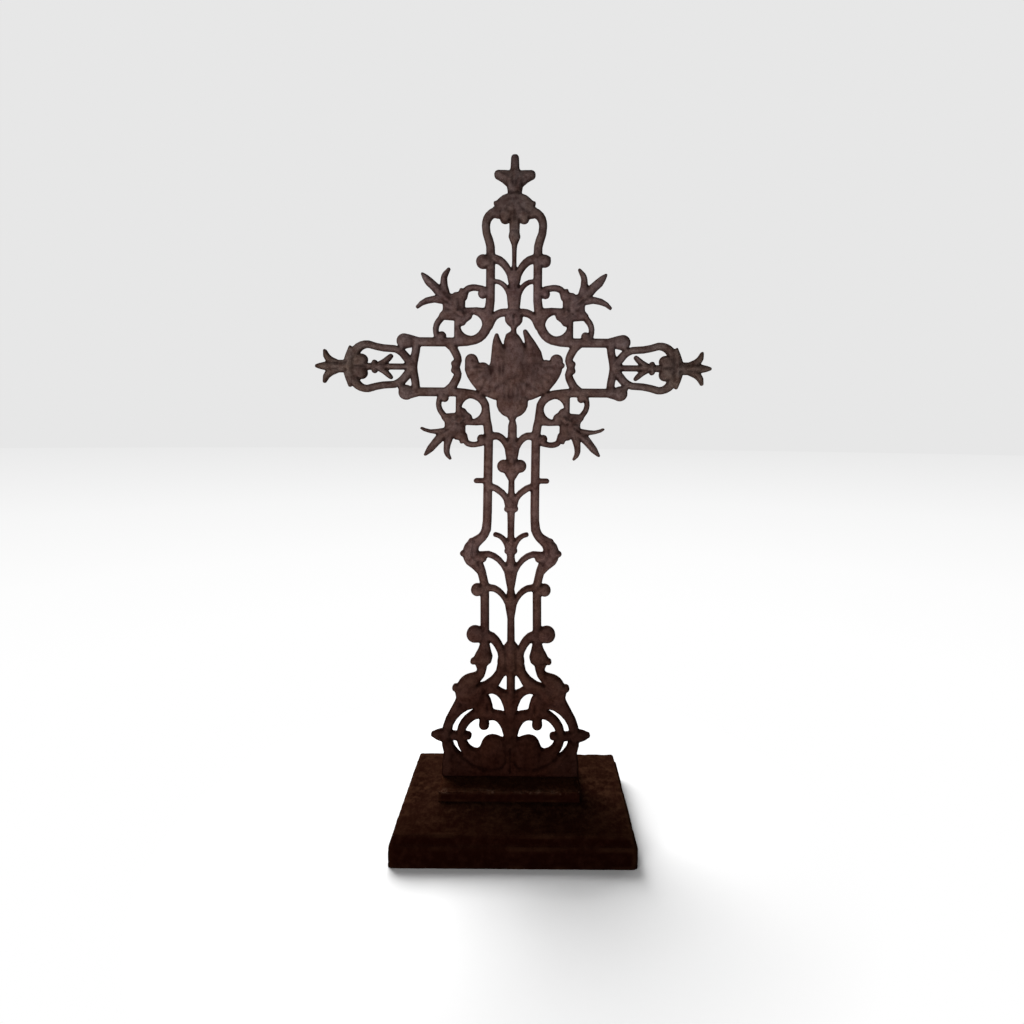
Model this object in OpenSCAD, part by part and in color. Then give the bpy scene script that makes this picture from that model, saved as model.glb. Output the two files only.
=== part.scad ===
// Openwork cast iron grave cross, standing on a low step and a plinth.
// The cross faces -Y. The origin is on the underside, under the middle line of the cross
// and half way along the depth of the plinth.

/* [Cross] */
// Height of the arms' middle line above the foot of the cross
arm_z = 653.5; // [560:0.5:790]
// Height of the head, from the arms' middle line to the tip of the top finial
head_h = 340.5; // [285:0.5:420]
// Reach of an arm, from the middle of the cross to the tip of its finial
arm_reach = 317; // [275:1:390]
// Distance from the middle line to each upright rail, above the side knots
rail_x = 37.8; // [32:0.1:46]
// Distance from the middle line to each upright rail, below the side knots
low_rail_x = 41.7; // [36:0.1:50]
// Distance from the arms' middle line to each rail of the arm
arm_rail = 40; // [34:0.5:48]
// Width of the rails
rail_w = 13.3; // [11:0.1:16]
// Width of the middle stem
stem_w = 10.5; // [8.5:0.1:13]
// Span of the dove's wings
dove_w = 158; // [132:1:175]

/* [Section] */
// Thickness of the bars from front to back
bar_t = 12; // [9:0.5:18]
// Half the width of the narrowest notch between bars that the iron leaves open
notch = 1.2; // [0.8:0.1:2]
// Height of each raised layer of the relief
relief = 2.4; // [1.5:0.1:4]

/* [Foot of the cross] */
// Width of the foot where it stands on the step
foot_w = 217; // [200:1:260]
// Height of the shoulders of the foot
shoulder_z = 162; // [155:1:180]

/* [Step] */
// How far the step shows past each side of the foot
step_side = 0.5; // [0:0.5:20]
// Depth of the step
step_d = 92; // [60:1:150]
// Height of the step
step_h = 16; // [12:1:30]
// Chamfer round the top of the step
step_chamfer = 1.5; // [0.5:0.5:4]

/* [Plinth] */
// Width of the plinth
plinth_w = 351; // [290:1:450]
// Depth of the plinth
plinth_d = 241; // [200:1:320]
// Height of the plinth
plinth_h = 44; // [30:1:60]
// Height of the sloping band round the top of the plinth
band_h = 14; // [6:0.5:20]
// How far the band's top edge is set back
band_inset = 6; // [3:0.5:12]
// Width of the ledge below the band
ledge = 2; // [1:0.5:2.5]
// Chamfer on the edge below the ledge
plinth_chamfer = 1.5; // [0.5:0.5:3]
// How far the middle of the plinth lies to the right of the cross
plinth_shift = 8; // [0:1:20]
// How far the cross stands behind the middle of the plinth
setback = 10.5; // [0:0.5:25]

/* [Hidden] */
$fn = 20;

iron = "#51403c";
dark_iron = "#2a1813";

foot_x = foot_w / 2;
step_w = foot_w + 2 * step_side;
head_z = arm_z + head_h;
corner_x = rail_x + 57;
dove_scale = dove_w / 158;
// Largest turn, in degrees, between two neighbouring chords of a curve
chord_turn = 18;

// Each of the three prongs of a leaf spray, as [x, z, width] from the corner of the rails
upper_prongs = [
    [[77, 68, 13], [90, 68.5, 9.5], [101.5, 66, 8.5], [110.5, 61.5, 6], [117, 55.5, 3.6]],
    [[75, 74, 18], [89, 88, 13.5], [99, 97, 13], [105, 104, 9], [109, 108.5, 4]],
    [[72, 75, 15], [74.5, 91, 11], [74.5, 102, 9], [72, 109, 7.5], [66.5, 117, 3.6]]
];
lower_prongs = [
    [[70, 63, 11], [84, 63.5, 7.5], [94, 63, 5.2], [103, 60.5, 4.5], [107.5, 58, 3.4]],
    [[72, 67, 15], [84, 80, 12], [93, 91, 10.5], [98, 97, 6.5], [101, 100.5, 3.6]],
    [[64, 73, 13], [66.5, 86, 9.5], [67, 94, 8.5], [65, 101, 6.5], [61, 106.5, 3.4]]
];

// ---- Curves and strands ----

// Point at t, from 0 to 1, on the smooth curve between b and c
function curve_point(a, b, c, d, t) =
    (2 * b + (c - a) * t + (2 * a - 5 * b + 4 * c - d) * t * t + (3 * b - a - 3 * c + d) * t * t * t) / 2;

// Angle in degrees between the directions u and v
function turn(u, v) = acos(min(1, (u[0] * v[0] + u[1] * v[1]) / norm([u[0], u[1]]) / norm([v[0], v[1]])));

// Number of chords for the stretch between b and c
function chords(a, b, c, d) = max(1, ceil((turn(c - a, c - b) + turn(c - b, d - b)) / chord_turn));

// Smooth stretch from b to just before c
function stretch(a, b, c, d) = let (n = chords(a, b, c, d))
    [for (k = [0 : n - 1]) curve_point(a, b, c, d, k / n)];

// Smooth open curve through the points p
function curve(p) = let (last = len(p) - 1) [
    for (i = [0 : last - 1]) each stretch(p[max(i - 1, 0)], p[i], p[i + 1], p[min(i + 2, last)]),
    p[last]
];

// Smooth closed curve through the points p
function closed_curve(p) = let (n = len(p))
    [for (i = [0 : n - 1]) each stretch(p[(i + n - 1) % n], p[i], p[(i + 1) % n], p[(i + 2) % n])];

// Unit vector square to the curve s at its point i
function across(s, i) = let (
    a = s[max(i - 1, 0)],
    b = s[min(i + 1, len(s) - 1)],
    along = [b[0] - a[0], b[1] - a[1]]
) [-along[1], along[0]] / norm(along);

// Bar that follows [x, z, width] points, with round ends
module strand(points) {
    s = curve(points);
    last = len(s) - 1;
    side = [for (i = [0 : last]) across(s, i) * s[i][2] / 2];
    polygon(concat(
        [for (i = [0 : last]) [s[i][0], s[i][1]] + side[i]],
        [for (i = [last : -1 : 0]) [s[i][0], s[i][1]] - side[i]]
    ));
    for (end = [s[0], s[last]]) translate([end[0], end[1]]) circle(d = end[2]);
}

// Disc of radius r at x, z
module knob(x, z, r) {
    translate([x, z]) circle(r = r);
}

// The children and their mirror image left of the middle line
module both_sides() {
    children();
    mirror([1, 0]) children();
}

// Branch from the rail at x, z down into the stem at end_x.
// bend says how far down the drop it turns, and rise how far it first climbs.
module branch(x, z, end_x, drop, bend, rise, w_start, w_end) {
    a = [x, z, w_start];
    b = [x - 0.45 * (x - end_x), z + rise, w_start + (w_end - w_start) / 3];
    c = [end_x, z - bend * drop, w_end + (w_start - w_end) / 3];
    d = [end_x, z - drop, w_end];
    strand([for (t = [0 : 0.25 : 1])
        pow(1 - t, 3) * a + 3 * pow(1 - t, 2) * t * b + 3 * (1 - t) * t * t * c + pow(t, 3) * d]);
}

// ---- Crossing of the arms, drawn about the middle of the cross ----

// Rail that turns from the head into the arm
module upper_rail_sweep() {
    strand([[rail_x, 165, rail_w], [rail_x, 107, rail_w], [rail_x + 2, 90, rail_w + 0.7],
        [rail_x + 4.5, arm_rail + 27, rail_w + 1.5], [rail_x + 12.7, arm_rail + 11.5, rail_w + 0.5],
        [rail_x + 24, arm_rail + 4, rail_w], [rail_x + 38, arm_rail + 1, rail_w],
        [corner_x, arm_rail, rail_w]]);
}

// Rail that turns from the arm into the shaft
module lower_rail_sweep() {
    strand([[corner_x, -arm_rail, rail_w], [rail_x + 40, -arm_rail - 1.5, rail_w],
        [rail_x + 26, -arm_rail - 3.5, rail_w], [rail_x + 14, -arm_rail - 9.5, rail_w - 0.5],
        [rail_x + 6.5, -arm_rail - 20, rail_w - 1], [rail_x + 4.6, -arm_rail - 32, rail_w - 2],
        [rail_x + 3.7, -arm_rail - 44, rail_w - 1], [rail_x + 1.5, -arm_rail - 56, rail_w],
        [rail_x, -arm_rail - 70, rail_w]]);
}

// Body of a leaf spray, drawn from the corner of the rails
module spray_leaf() {
    polygon(concat(
        curve([[41, 50], [40.5, 70], [42, 83], [48, 85.5], [50.5, 80], [57, 79], [61, 76]]),
        [[66, 78], [87, 75]],
        curve([[76, 61], [75.5, 51], [81, 44], [80.5, 37], [72, 36], [58, 35]]),
        curve([[51, 25], [42, 27.5], [38, 33], [31, 38], [29, 44], [29, 50]])
    ));
}

// Ring, bars and curls that tie a leaf spray to the rails
module spray_frame() {
    difference() {
        knob(30.2, 27.5, 25);
        knob(30.2, 27.5, 18);
    }
    strand([[6, 49, 10], [22, 50.5, 9.4], [40, 49, 11]]);
    strand([[53, 38, 8], [53, 0, 8]]);
    knob(48.5, 8.5, 4.5);
    strand([[42, 72, 9], [39.5, 82, 9], [33, 86.5, 9], [24, 87.4, 8.6], [13, 85.5, 8.6], [2, 80, 9]]);
    knob(12.5, 77.5, 7);
    strand([[77, 40, 9], [84, 31, 8.5], [87, 21, 8], [85.5, 10, 8], [82, 1, 8]]);
    knob(77, 10, 6.5);
}

module spray_prongs(prongs) {
    for (prong = prongs) strand(prong);
}

// The dove, wings spread: crest, two long feathers, two wings and tail
module dove() {
    scale(dove_scale) translate([-1, 0]) {
        strand([[0, 57, 6], [-1, 52, 20], [-1, 44, 27], [3, 32, 33], [4, 15, 44], [3, -10, 62],
            [0, -35, 58], [0, -52, 50], [0, -62, 49], [0, -70, 42], [0, -76, 30], [0, -80, 13]]);
        strand([[-26, 51, 6], [-26, 45, 10.5], [-25, 36, 16], [-22, 22, 25], [-17, 0, 40]]);
        strand([[19.5, 57, 7], [23.5, 48, 11], [28, 37, 17], [33, 22, 25], [35.5, 10, 27], [34, 0, 30]]);
        strand([[-66, 11, 20], [-64, -2, 25], [-56, -14, 30], [-41, -27, 38], [-25, -36, 32]]);
        strand([[70, 11, 20], [67, -2, 24], [59, -14, 28], [45, -26, 36], [26, -36, 32]]);
        knob(-48, -4.5, 12);
        knob(53, -1, 13);
        knob(79, 3.5, 4);
    }
}

// Knot that the dove hangs from, and the arches from it to the rails
module hub() {
    strand([[0, 98, 17], [0, 88, 22], [0, 80, 28], [0, 74, 27], [0, 69, 20], [0, 65, 10],
        [0, 61, 7.5], [0, 50, 10]]);
    both_sides() strand([[3, 86.5, 12], [0.4 * rail_x, 88, 11.5], [0.69 * rail_x, 85, 11],
        [0.9 * rail_x, 77.5, 11], [rail_x + 2, 66, 12]]);
}

// Brace that closes the arm's opening beside the dove
module brace() {
    x = corner_x - 2;
    strand([[x + 12, arm_rail - 2, 13], [x + 4, arm_rail - 9.5, 13], [x - 1.5, arm_rail - 20, 12],
        [x - 4, 11, 11.5], [x - 0.5, 0, 12], [x - 4, -11, 11.5], [x - 1.5, 20 - arm_rail, 12],
        [x + 4, 9.5 - arm_rail, 13], [x + 12, 2 - arm_rail, 13]]);
    for (z = [-5.5, 5.5]) knob(x + 1.5, z, 5);
}

// ---- End of an arm, drawn from the tip of its finial towards -X ----

module arm_finial() {
    strand([[-54, 0, 19], [-38, 0, 19], [-26, 0, 21], [-15, 0, 12], [-7, 0, 8.5], [-2.5, 0, 5]]);
    for (side = [-1, 1])
        strand([[-36, 3 * side, 13], [-24, 9.5 * side, 11], [-17.5, 17 * side, 8.5], [-15, 25 * side, 4]]);
}

module arm_collar() {
    for (side = [-1, 1]) {
        polygon(concat(
            curve([[-55, 33.5 * side], [-49.5, 20 * side], [-46, 9 * side]]),
            [[-46, 0], [-72, 0], [-66, 28 * side], [-60.5, 30 * side]]
        ));
        knob(-74, 10.5 * side, 9.5);
    }
}

module arm_loop() {
    for (side = [-1, 1])
        strand([[-155, 0, 15], [-149, 11 * side, 13], [-140, 21.5 * side, 12], [-127, 28.5 * side, 10.5],
            [-109, 29.7 * side, 10.5], [-97, 32 * side, 10.5], [-85, 35.5 * side, 11],
            [-74, 33.5 * side, 12], [-65, 26 * side, 14], [-60, 14 * side, 16]]);
}

module arm_sprig() {
    strand([[-155, 0, 8.8], [-113, 0, 8.8], [-100, 0, 12.5], [-91, 0, 10], [-72, 0, 10]]);
    for (side = [-1, 1]) {
        strand([[-102, 2.5 * side, 9], [-111, 7.5 * side, 9], [-118, 14 * side, 7.5], [-121, 17 * side, 6]]);
        knob(-95, 6.5 * side, 4);
    }
}

// Bars that cross where the loop meets the arm's rails, and the knobs on the corners
module arm_cross_bars() {
    for (side = [-1, 1]) {
        strand([[-162, arm_rail * side, 12], [-160.5, 24 * side, 11.5], [-157.5, 9 * side, 12],
            [-155.5, 0, 14]]);
        strand([[-161, (arm_rail + 1) * side, 14], [-151, (arm_rail + 1) * side, 20],
            [-144 + 2 * side, (arm_rail + 1) * side, 23.4]]);
        strand([[-142, (arm_rail - 3) * side, 14], [-136, 28 * side, 9]]);
    }
}

module arm_end() {
    arm_finial();
    arm_collar();
    arm_loop();
    arm_sprig();
    arm_cross_bars();
}

// ---- Head, the top part drawn from the tip of the finial downwards ----

module top_finial() {
    strand([[0, -66, 21], [0, -56, 23], [0, -46, 27], [0, -34, 22], [0, -22, 13.5], [0, -6, 12]]);
    both_sides() strand([[4, -40, 26], [11, -37, 23], [18, -34.3, 18], [26, -32.3, 13.6]]);
}

// Leaf cap over the arch, with two lobes below it
module leaf_cap() {
    both_sides() {
        polygon(concat(
            [[0, -103], [0, -62]],
            curve([[11, -63], [19, -66], [25, -71], [29, -75]]),
            curve([[33, -75.5], [33.5, -79], [31.5, -83]]),
            [[36, -87], [30, -101]]
        ));
        knob(15, -102, 8.2);
    }
}

// Arch and the neck below it, where the rails draw in
module head_arch() {
    both_sides() strand([[22, -90, 16], [rail_x - 1.5, -94.5, 13.5], [rail_x + 6, -103.5, 12.6],
        [rail_x + 8, -115, 12.2], [rail_x + 6.8, -126, 12.2], [rail_x + 3, -137, 13],
        [rail_x + 0.4, -147, 13], [rail_x, -159, rail_w]]);
}

module head_bud() {
    strand([[0, -100, 14], [0, -112, 16], [0, -124, 15.4], [0, -131.5, 18.4], [0, -138, 13],
        [0, -144, 8.4], [0, -152, 6.8], [0, -176, 6]]);
}

// Branches and knobs of the head, drawn from the arms' middle line
module head_branches() {
    strand([[0, 175, 6], [0, 158, 7], [0, 136, 15], [0, 112, 18.5], [0, 96, 17.5]]);
    both_sides() {
        branch(rail_x - 4, 174.5, 3.5, 43, 0.45, 0, 13, 9);
        branch(rail_x - 3, 138.5, 4.5, 44, 0.2, 0.5, 5, 9);
    }
    knob(-rail_x - 12, 169, 11);
    knob(rail_x + 11, 170.5, 9.6);
    polygon([[rail_x, 181], [rail_x + 12, 180], [rail_x + 20.5, 176], [rail_x + 19, 164], [rail_x, 161]]);
}

module head_rails() {
    both_sides() strand([[rail_x, arm_z + 155, rail_w], [rail_x, head_z - 157, rail_w]]);
}

// ---- Shaft ----

// Ornament that hangs below the arms, drawn from the arms' middle line
module upper_shaft() {
    strand([[0, -80, 5], [0, -86, 9.5], [0, -93, 13.2], [0, -108, 13.6], [0, -134, 15.6], [0, -150, 17]]);
    strand([[0, -149, 18], [0, -158, 27], [0, -168, 24], [0, -175, 16], [0, -181, 8.6], [0, -198, 9.4],
        [0, -214, 14], [0, -222, 15], [0, -232, 11.5], [0, -246, stem_w]]);
    both_sides() {
        branch(rail_x - 4, -110.5, 4, 37, 0.25, 6, 12, 9);
        knob(13, -158, 10.2);
        strand([[rail_x, -181.5, 7.5], [rail_x + 18.6, -181.5, 7.5]]);
        branch(rail_x - 3, -190, 4.5, 34, 0.45, -3, 10, 9);
        knob(6.6, -226.5, 4.5);
    }
}

// Side knot, where the rails swell out and draw in again
module side_knot() {
    strand([[rail_x, 430, rail_w], [rail_x + 0.3, 408, rail_w], [rail_x + 1.6, 394, 14.4],
        [rail_x + 8, 382, 14], [rail_x + 18, 374, 17], [rail_x + 25, 365, 23], [rail_x + 26, 355, 26],
        [rail_x + 22.5, 346, 25], [low_rail_x + 11, 336, 18], [low_rail_x + 5, 326, 13],
        [low_rail_x + 2.6, 316, 12.4], [low_rail_x, 304, rail_w - 0.4], [low_rail_x, 280, rail_w - 0.3]]);
    knob(rail_x + 39, 355.5, 4.2);
    knob(rail_x + 26, 375.5, 4);
    knob(rail_x + 7, 348, 6);
}

// Ornament above the foot, drawn from the foot
module lower_shaft() {
    strand([[0, arm_z - 240, stem_w], [0, 385, stem_w - 0.5], [0, 372, 12.4], [0, 360, 14],
        [0, 350, 11.4], [0, 336, 16], [0, 322, 12], [0, 300, 9.4], [0, 286, 15], [0, 272, 12],
        [0, 255, stem_w], [0, 160, stem_w + 2]]);
    both_sides() {
        strand([[25, 386, 6.6], [19.5, 384.5, 6.6], [12, 379, 7.4], [6.5, 370, 8], [4, 360, 8]]);
        knob(5.6, 360, 4.6);
        side_knot();
        branch(rail_x + 15, 353, 2, 54, 0.2, 9, 10, 6.4);
        branch(low_rail_x - 3, 301.5, 2.2, 48, 0.3, 2, 10, 6.4);
        knob(low_rail_x + 12, 297.5, 9.8);
        strand([[low_rail_x, 285, rail_w - 0.3], [low_rail_x, 225, rail_w - 0.3]]);
        knob(low_rail_x + 15.8, 226.5, 13.2);
        strand([[low_rail_x + 5, 226, 24], [low_rail_x + 15, 226, 25]]);
        strand([[low_rail_x, 225, 16], [30, 221, 14], [21, 211, 12.5], [15.5, 200, 12], [12, 185, 14]]);
    }
}

module shaft_rails() {
    both_sides() strand([[rail_x, arm_z - 105, rail_w], [rail_x, 420, rail_w]]);
}

// ---- Foot of the cross ----

// Bud that closes each rail above the foot
module rail_bud() {
    strand([[low_rail_x, 228, rail_w], [low_rail_x + 0.3, 210, 15], [low_rail_x + 0.8, 201, 20],
        [low_rail_x + 1.2, 193, 27], [low_rail_x + 3.6, 186, 28], [low_rail_x + 5.4, 179, 20],
        [low_rail_x + 4.6, 172, 14.5], [low_rail_x + 5.6, 166, 13]]);
    strand([[low_rail_x + 12, 186, 11], [low_rail_x + 18.5, 183, 9]]);
}

// Outline of one half of the foot, without its openings
module foot_plate() {
    polygon(concat(
        [[0, 0], [0, 172]],
        curve([[21.5, 178], [23.5, 168], [32, 157], [42, 150], [53, 146.5]]),
        curve([[48.5, 152], [43, 159], [41, 166], [41, 172]]),
        curve([[54, 172], [55, 166], [62, shoulder_z + 1.5], [foot_x - 39, shoulder_z - 0.5],
            [foot_x - 30, shoulder_z - 6], [foot_x - 23, shoulder_z - 16], [foot_x - 20, 134],
            [foot_x - 21.5, 126], [foot_x - 19, 118], [foot_x - 12, 105], [foot_x - 5, 92],
            [foot_x - 0.5, 79], [foot_x + 1, 65], [foot_x + 0.5, 50], [foot_x - 2.5, 38]]),
        [[foot_x, 20], [foot_x, 0]]
    ));
    knob(foot_x - 20.5, 140.5, 5.5);
}

// Spike on the side of the foot, with its bud inside the scroll
module foot_ear() {
    strand([[foot_x - 40.5, 64, 11], [foot_x - 28, 63.5, 12], [foot_x - 13, 64, 13],
        [foot_x - 4, 65, 20], [foot_x + 4.5, 65, 17], [foot_x + 10.5, 65.5, 12.5], [foot_x + 15, 66, 7]]);
}

module foot_openings() {
    polygon([[6.3, 161], [9.4, 161.5], [13, 157], [17, 149.5], [21, 143], [14, 138.5], [6.3, 135.5]]);
    polygon(concat(
        curve([[37.5, 131.5], [30, 132.5], [23, 130], [16, 123], [11.5, 112], [9.3, 101]]),
        curve([[17, 103.5], [27.5, 105], [29.5, 112], [32.5, 122]])
    ));
    strand([[foot_x - 48, 106.5, 3], [foot_x - 41, 103.3, 6], [foot_x - 32.5, 97, 7],
        [foot_x - 25.5, 89, 8], [foot_x - 20.5, 80, 8.5], [foot_x - 18.5, 70, 8.5],
        [foot_x - 18.5, 60, 8.5], [foot_x - 21.5, 49, 7], [foot_x - 26.5, 41, 5], [foot_x - 31, 36, 2.6]]);
    polygon(closed_curve([[50, 92.5], [59, 89.5], [67, 82], [72, 73], [72, 62], [68, 51], [61.5, 45],
        [54, 42.5], [48.5, 46], [45, 55], [39, 62], [30, 65], [21, 63.5], [12, 60.3],
        [11, 66], [14, 76], [20, 86], [27, 90], [34, 89.5], [42, 91]]));
}

module foot() {
    both_sides() {
        difference() {
            foot_plate();
            foot_openings();
        }
        foot_ear();
        rail_bud();
        strand([[43, 95, 12], [42.4, 82, 16]]);
    }
    strand([[0, 214, 12], [0, 203, 30], [0, 192, 38], [0, 183, 43]]);
}

// ---- The whole cross as an outline, then as a casting ----

module crossing() {
    both_sides() {
        upper_rail_sweep();
        lower_rail_sweep();
        translate([rail_x, arm_rail]) {
            spray_leaf();
            spray_frame();
            spray_prongs(upper_prongs);
        }
        translate([rail_x, -arm_rail]) mirror([0, 1]) {
            scale([0.93, 0.96]) {
                spray_leaf();
                spray_frame();
            }
            spray_prongs(lower_prongs);
        }
        brace();
        for (z = [-arm_rail, arm_rail])
            strand([[corner_x, z, rail_w], [arm_reach - 150, z, rail_w]]);
        translate([arm_reach, 0]) arm_end();
    }
    hub();
    dove();
}

module cross_outline() {
    offset(delta = -notch) offset(delta = notch) {
        foot();
        lower_shaft();
        shaft_rails();
        head_rails();
        translate([0, arm_z]) {
            crossing();
            upper_shaft();
            head_branches();
        }
        translate([0, head_z]) {
            head_arch();
            leaf_cap();
            top_finial();
            head_bud();
        }
    }
}

// Layer of relief that stands over the front of the bars by height
module raised(height) {
    linear_extrude(height = bar_t / 2 + height) children();
}

// Domed layers of the dove, with feathers along its wings
module dove_relief() {
    translate([0, arm_z]) {
        for (layer = [1 : 3])
            raised(layer * relief) offset(delta = 1.5 - 4.5 * layer) dove();
    }
}

// Raised middle of the leaf sprays and of the leaf cap
module leaf_relief() {
    raised(relief) offset(delta = -3) {
        translate([0, arm_z]) both_sides() {
            translate([rail_x, arm_rail]) spray_leaf();
            translate([rail_x, -arm_rail]) mirror([0, 1]) scale([0.93, 0.96]) spray_leaf();
        }
        translate([0, head_z]) leaf_cap();
    }
}

module cross() {
    color(iron) translate([0, setback, plinth_h + step_h]) rotate([90, 0, 0]) {
        linear_extrude(height = bar_t, center = true) cross_outline();
        dove_relief();
        leaf_relief();
    }
}

// ---- Base ----

// Side of a block w across, from the [inset, height] points of its profile
module moulded_side(w, profile) {
    last = len(profile) - 1;
    polygon(concat(
        [for (p = profile) [w / 2 - p[0], p[1]]],
        [for (i = [last : -1 : 0]) [profile[i][0] - w / 2, profile[i][1]]]
    ));
}

// Block whose four sides have the same profile
module moulded_block(w, d, profile) {
    intersection() {
        rotate([90, 0, 0]) linear_extrude(height = d, center = true) moulded_side(w, profile);
        rotate([90, 0, 90]) linear_extrude(height = w, center = true) moulded_side(d, profile);
    }
}

module foot_block() {
    color(dark_iron) translate([0, setback, plinth_h]) moulded_block(step_w, step_d,
        [[0, 0], [0, step_h - step_chamfer], [step_chamfer, step_h]]);
}

module plinth() {
    slab_h = plinth_h - band_h;
    color(dark_iron) translate([plinth_shift, 0, 0]) moulded_block(plinth_w, plinth_d,
        [[0, 0], [0, slab_h - plinth_chamfer], [plinth_chamfer, slab_h], [plinth_chamfer + ledge, slab_h],
            [band_inset, plinth_h]]);
}

plinth();
foot_block();
cross();
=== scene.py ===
import math
import bmesh
import bpy
import numpy as np
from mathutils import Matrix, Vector, noise
from mathutils.kdtree import KDTree


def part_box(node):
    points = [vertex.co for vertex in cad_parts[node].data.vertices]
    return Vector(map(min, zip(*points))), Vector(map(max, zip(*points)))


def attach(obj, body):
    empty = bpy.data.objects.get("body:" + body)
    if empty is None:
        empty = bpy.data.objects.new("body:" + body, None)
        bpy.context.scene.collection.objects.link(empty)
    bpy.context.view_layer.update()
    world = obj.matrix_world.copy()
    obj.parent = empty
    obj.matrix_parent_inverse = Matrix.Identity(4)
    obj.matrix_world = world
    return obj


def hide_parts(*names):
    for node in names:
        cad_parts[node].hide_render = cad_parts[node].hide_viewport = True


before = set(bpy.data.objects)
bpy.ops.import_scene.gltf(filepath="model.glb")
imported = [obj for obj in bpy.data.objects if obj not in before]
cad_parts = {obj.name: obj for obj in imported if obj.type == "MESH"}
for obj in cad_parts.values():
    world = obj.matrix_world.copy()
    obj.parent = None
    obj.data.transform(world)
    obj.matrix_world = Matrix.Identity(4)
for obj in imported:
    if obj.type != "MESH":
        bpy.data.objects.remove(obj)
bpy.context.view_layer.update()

# ---- Cross ----
# One openwork casting in grey iron, poured flat in open sand, so its front is modelled and
# rounded and its back is plain. It has no finish left but a brown rust patina, greyer towards
# the head and nearly black at the foot, where damp and soil have worked on it.

MM = 0.001
CROSS_MESH_STEP = 1.3          # side of the small cubes that the casting is remeshed on, in mm
CROSS_FACES = 190000           # triangles kept for the casting
FRONT_ROUND = 4.6              # radius worn on the front edges of the bars, in mm
BACK_ROUND = 1.8               # radius on the back edges, in mm
WALL_OUT = 0.45                # how far the walls are pushed out again after the remesh, in mm
SWELL = 3.4                    # how far the broad parts swell past the bars, in mm
SWELL_START = 4.0              # distance from an edge at which they begin to swell, in mm
SWELL_REACH = 10.0             # distance over which they swell, in mm
BACK_SINK = 0.8                # how far the middle of the broad parts sinks at the back, in mm
BACK_REACH = 5.0               # distance over which it sinks, in mm
RELIEF_RISE = 2.6              # distance from an edge over which the relief rises, in mm
SAND_LUMPS = [(0.22, 7, 1), (0.12, 2.6, 2)]    # height and size in mm, and seed, of the sand's print
ARM_Z = 653.5                  # middle line of the arms above the foot of the cross, in mm
HEAD_Z = 994.0                 # tip of the head above the foot, in mm
RAIL_X = 37.8                  # distance of the upright rails from the middle line, in mm
ARM_RAIL = 40.0                # distance of the arms' rails from their middle line, in mm
ARM_TIP = 317.0                # reach of an arm, in mm
FOOT_TOP = 222                 # top of the foot's own relief above the foot of the cross, in mm
FLAT_TOP = 160                 # below this the broad parts are flatter, in mm
FLATTER = 0.6                  # share of the swell that they have there
SHAFT_LEAN = -2.0              # how far the middle of the shaft was cast out of line, in mm
LEAN_Z = 400                   # height at which it is furthest out, in mm
LEAN_REACH = 170               # distance above and below over which it comes back, in mm
HOLLOW_RANGE = 0.13            # step from crest to hollow that takes the tone from end to end, in mm

cross_low, cross_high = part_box("cross")
step_low, step_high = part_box("foot_block")
CROSS_FOOT = cross_low.z / MM
CROSS_TOP = cross_high.z / MM - 0.1
CROSS_BACK = cross_high.y / MM
BAR_T = 2 * (cross_high.y - (step_low.y + step_high.y) / 2) / MM
CROSS_MIDDLE = CROSS_BACK - BAR_T / 2


def pick(piece):
    """Makes piece the only selected object, and the active one."""
    bpy.ops.object.select_all(action="DESELECT")
    piece.select_set(True)
    bpy.context.view_layer.objects.active = piece


def apply_modifier(piece, kind, **settings):
    """Adds a modifier to piece with these settings and applies it."""
    pick(piece)
    modifier = piece.modifiers.new(kind.title(), kind)
    for name, value in settings.items():
        setattr(modifier, name, value)
    bpy.ops.object.modifier_apply(modifier=modifier.name)


def points_of(mesh):
    """The mesh's points in mm, one row each."""
    co = np.empty(len(mesh.vertices) * 3)
    mesh.vertices.foreach_get("co", co)
    return co.reshape(-1, 3) / MM


def normals_of(mesh):
    """The normal at each point, one row each."""
    normals = np.empty(len(mesh.vertices) * 3)
    mesh.vertices.foreach_get("normal", normals)
    return normals.reshape(-1, 3)


def set_points(mesh, points):
    """Moves the mesh's points to these places in mm."""
    mesh.vertices.foreach_set("co", (points * MM).ravel())
    mesh.update()


def keep_back_sheet(piece):
    """Leaves only the flat back of the casting, which is its whole outline."""
    pick(piece)
    bpy.ops.object.mode_set(mode="EDIT")
    bpy.ops.mesh.select_all(action="SELECT")
    bpy.ops.mesh.remove_doubles(threshold=0.01 * MM)
    bm = bmesh.from_edit_mesh(piece.data)
    for face in bm.faces:
        on_back = face.calc_center_median().y > (CROSS_BACK - 0.1) * MM
        face.select_set(not (on_back and face.normal.y > 0.9))
    bmesh.update_edit_mesh(piece.data)
    bpy.ops.mesh.delete(type="FACE")
    bpy.ops.object.mode_set(mode="OBJECT")


def outline_tree(piece, spacing=0.6):
    """Points along the open edges of a flat sheet, for measuring how far a place is from an edge."""
    bm = bmesh.new()
    bm.from_mesh(piece.data)
    places = []
    for edge in bm.edges:
        if edge.is_boundary:
            a, b = edge.verts[0].co / MM, edge.verts[1].co / MM
            count = max(1, math.ceil((b - a).length / spacing))
            places += [a.lerp(b, i / count) for i in range(count)]
    bm.free()
    tree = KDTree(len(places))
    for i, place in enumerate(places):
        tree.insert((place.x, 0, place.z), i)
    tree.balance()
    return tree


def edge_distance(tree, points):
    """Distance of each point from the outline, seen from the front, in mm."""
    return np.array([tree.find((x, 0, z))[2] for x, _, z in points])


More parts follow.
